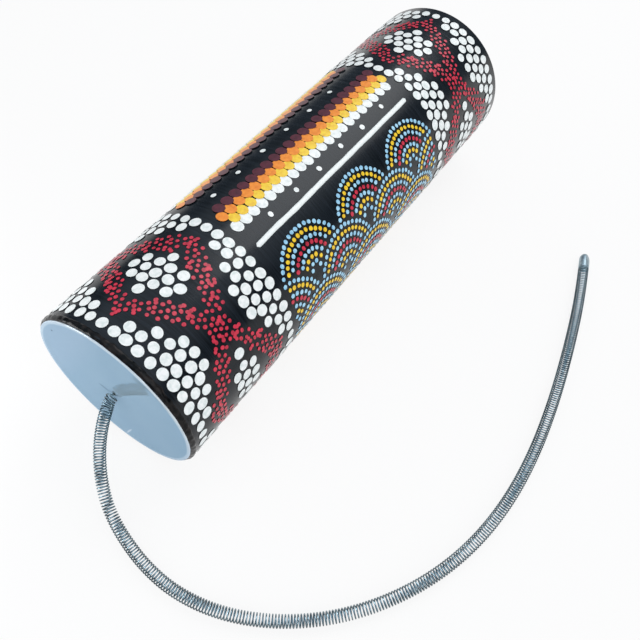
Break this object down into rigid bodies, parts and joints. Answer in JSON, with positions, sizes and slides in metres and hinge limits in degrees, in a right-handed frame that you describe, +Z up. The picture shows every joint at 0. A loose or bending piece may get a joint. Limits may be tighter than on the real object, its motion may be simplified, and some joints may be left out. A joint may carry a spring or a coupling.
{
  "type": "thunder tube",
  "caption": "Painted pipe closed at one end by a plastic drumhead, with a long wire spring hung from the middle of the head; shaken, the spring makes the head rumble like thunder.",
  "frame": {"origin": "on the surface that the tube lies on, under the middle of the pipe", "axes": "+X along the pipe from the drumhead to the open end, +Z up"},
  "size_m": [0.2286, 0.1444, 0.06],
  "materials": {
    "painted_pipe": "glossy black paint with raised paint dots",
    "drum_film": "smooth glossy film",
    "glue": "dried glue",
    "washer_steel": "plain steel",
    "bead_brass": "plain brass",
    "spring_steel": "drawn spring wire",
    "tip_metal": "smooth plated ferrule"
  },
  "bodies": {
    "drum": {"tube": "painted_pipe", "head_glue_ring": "glue", "head_film": "drum_film"},
    "anchor": {"anchor_washer": "washer_steel"},
    "spring": {"spring": "spring_steel", "anchor_bead": "bead_brass", "spring_tip": "tip_metal"}
  },
  "joints": [
    {"name": "spring_swivel", "type": "hinge", "parent": "drum", "child": "anchor", "pos_m": [-0.09645, 0, 0.03], "axis": [1, 0, 0], "continuous": true},
    {"name": "spring_swing", "type": "hinge", "parent": "anchor", "child": "spring", "pos_m": [-0.09645, 0, 0.03], "axis": [0, 0, 1], "range_deg": [-12, 12]}
  ]
}
